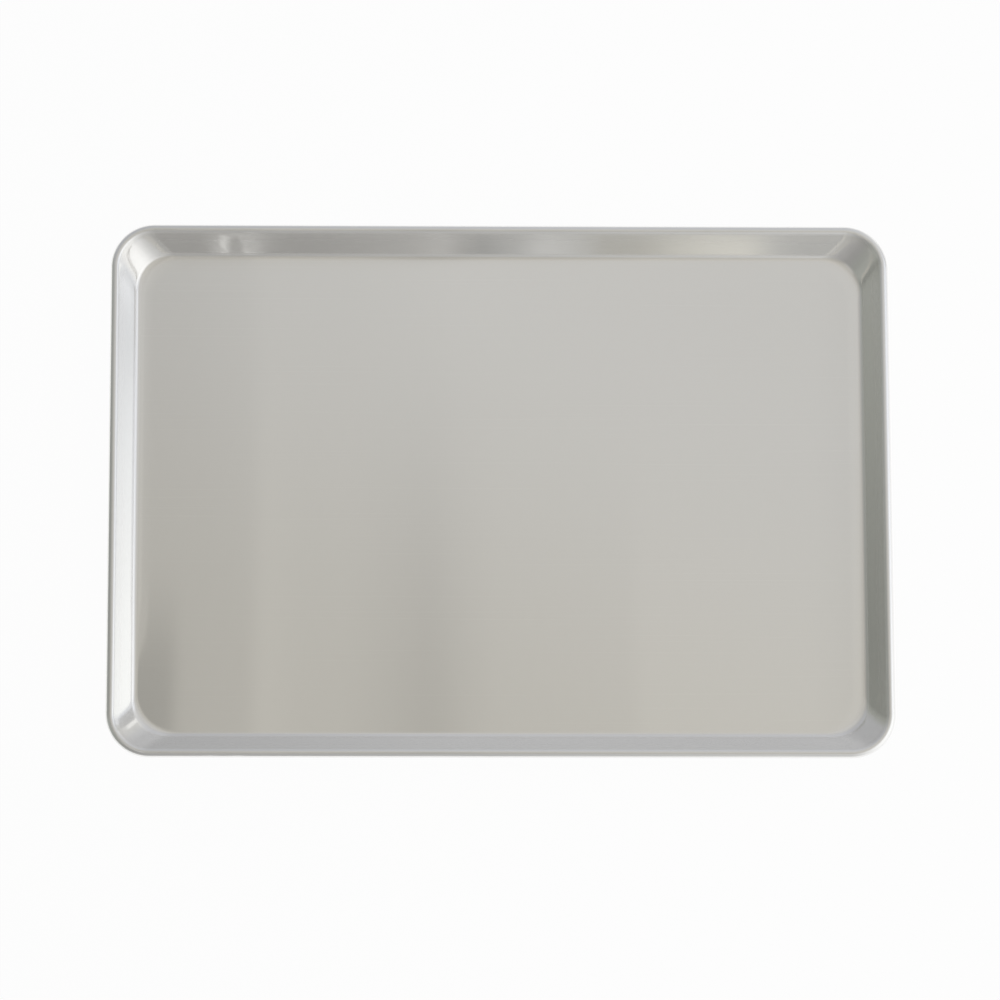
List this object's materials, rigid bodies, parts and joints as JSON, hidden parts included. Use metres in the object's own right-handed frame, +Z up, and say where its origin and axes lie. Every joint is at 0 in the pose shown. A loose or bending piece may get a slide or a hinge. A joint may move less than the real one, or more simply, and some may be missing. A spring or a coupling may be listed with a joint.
{
  "type": "sheet pan",
  "caption": "Shallow rectangular aluminium sheet pan with sloping walls, round corners and a rolled rim over a steel wire, for baking and carrying food.",
  "frame": {"origin": "middle of the flat underside of the pan", "axes": "+X along the long sides, +Y from the front long side to the back one, +Z up out of the open tray"},
  "size_m": [0.6556, 0.455, 0.0264],
  "materials": {
    "pan_sheet": "satin mill finish, drawn and slightly hazed",
    "rim_wire": "dull galvanised wire"
  },
  "bodies": {
    "root": {"pan_body": "pan_sheet", "rim_wire": "rim_wire"}
  },
  "joints": []
}
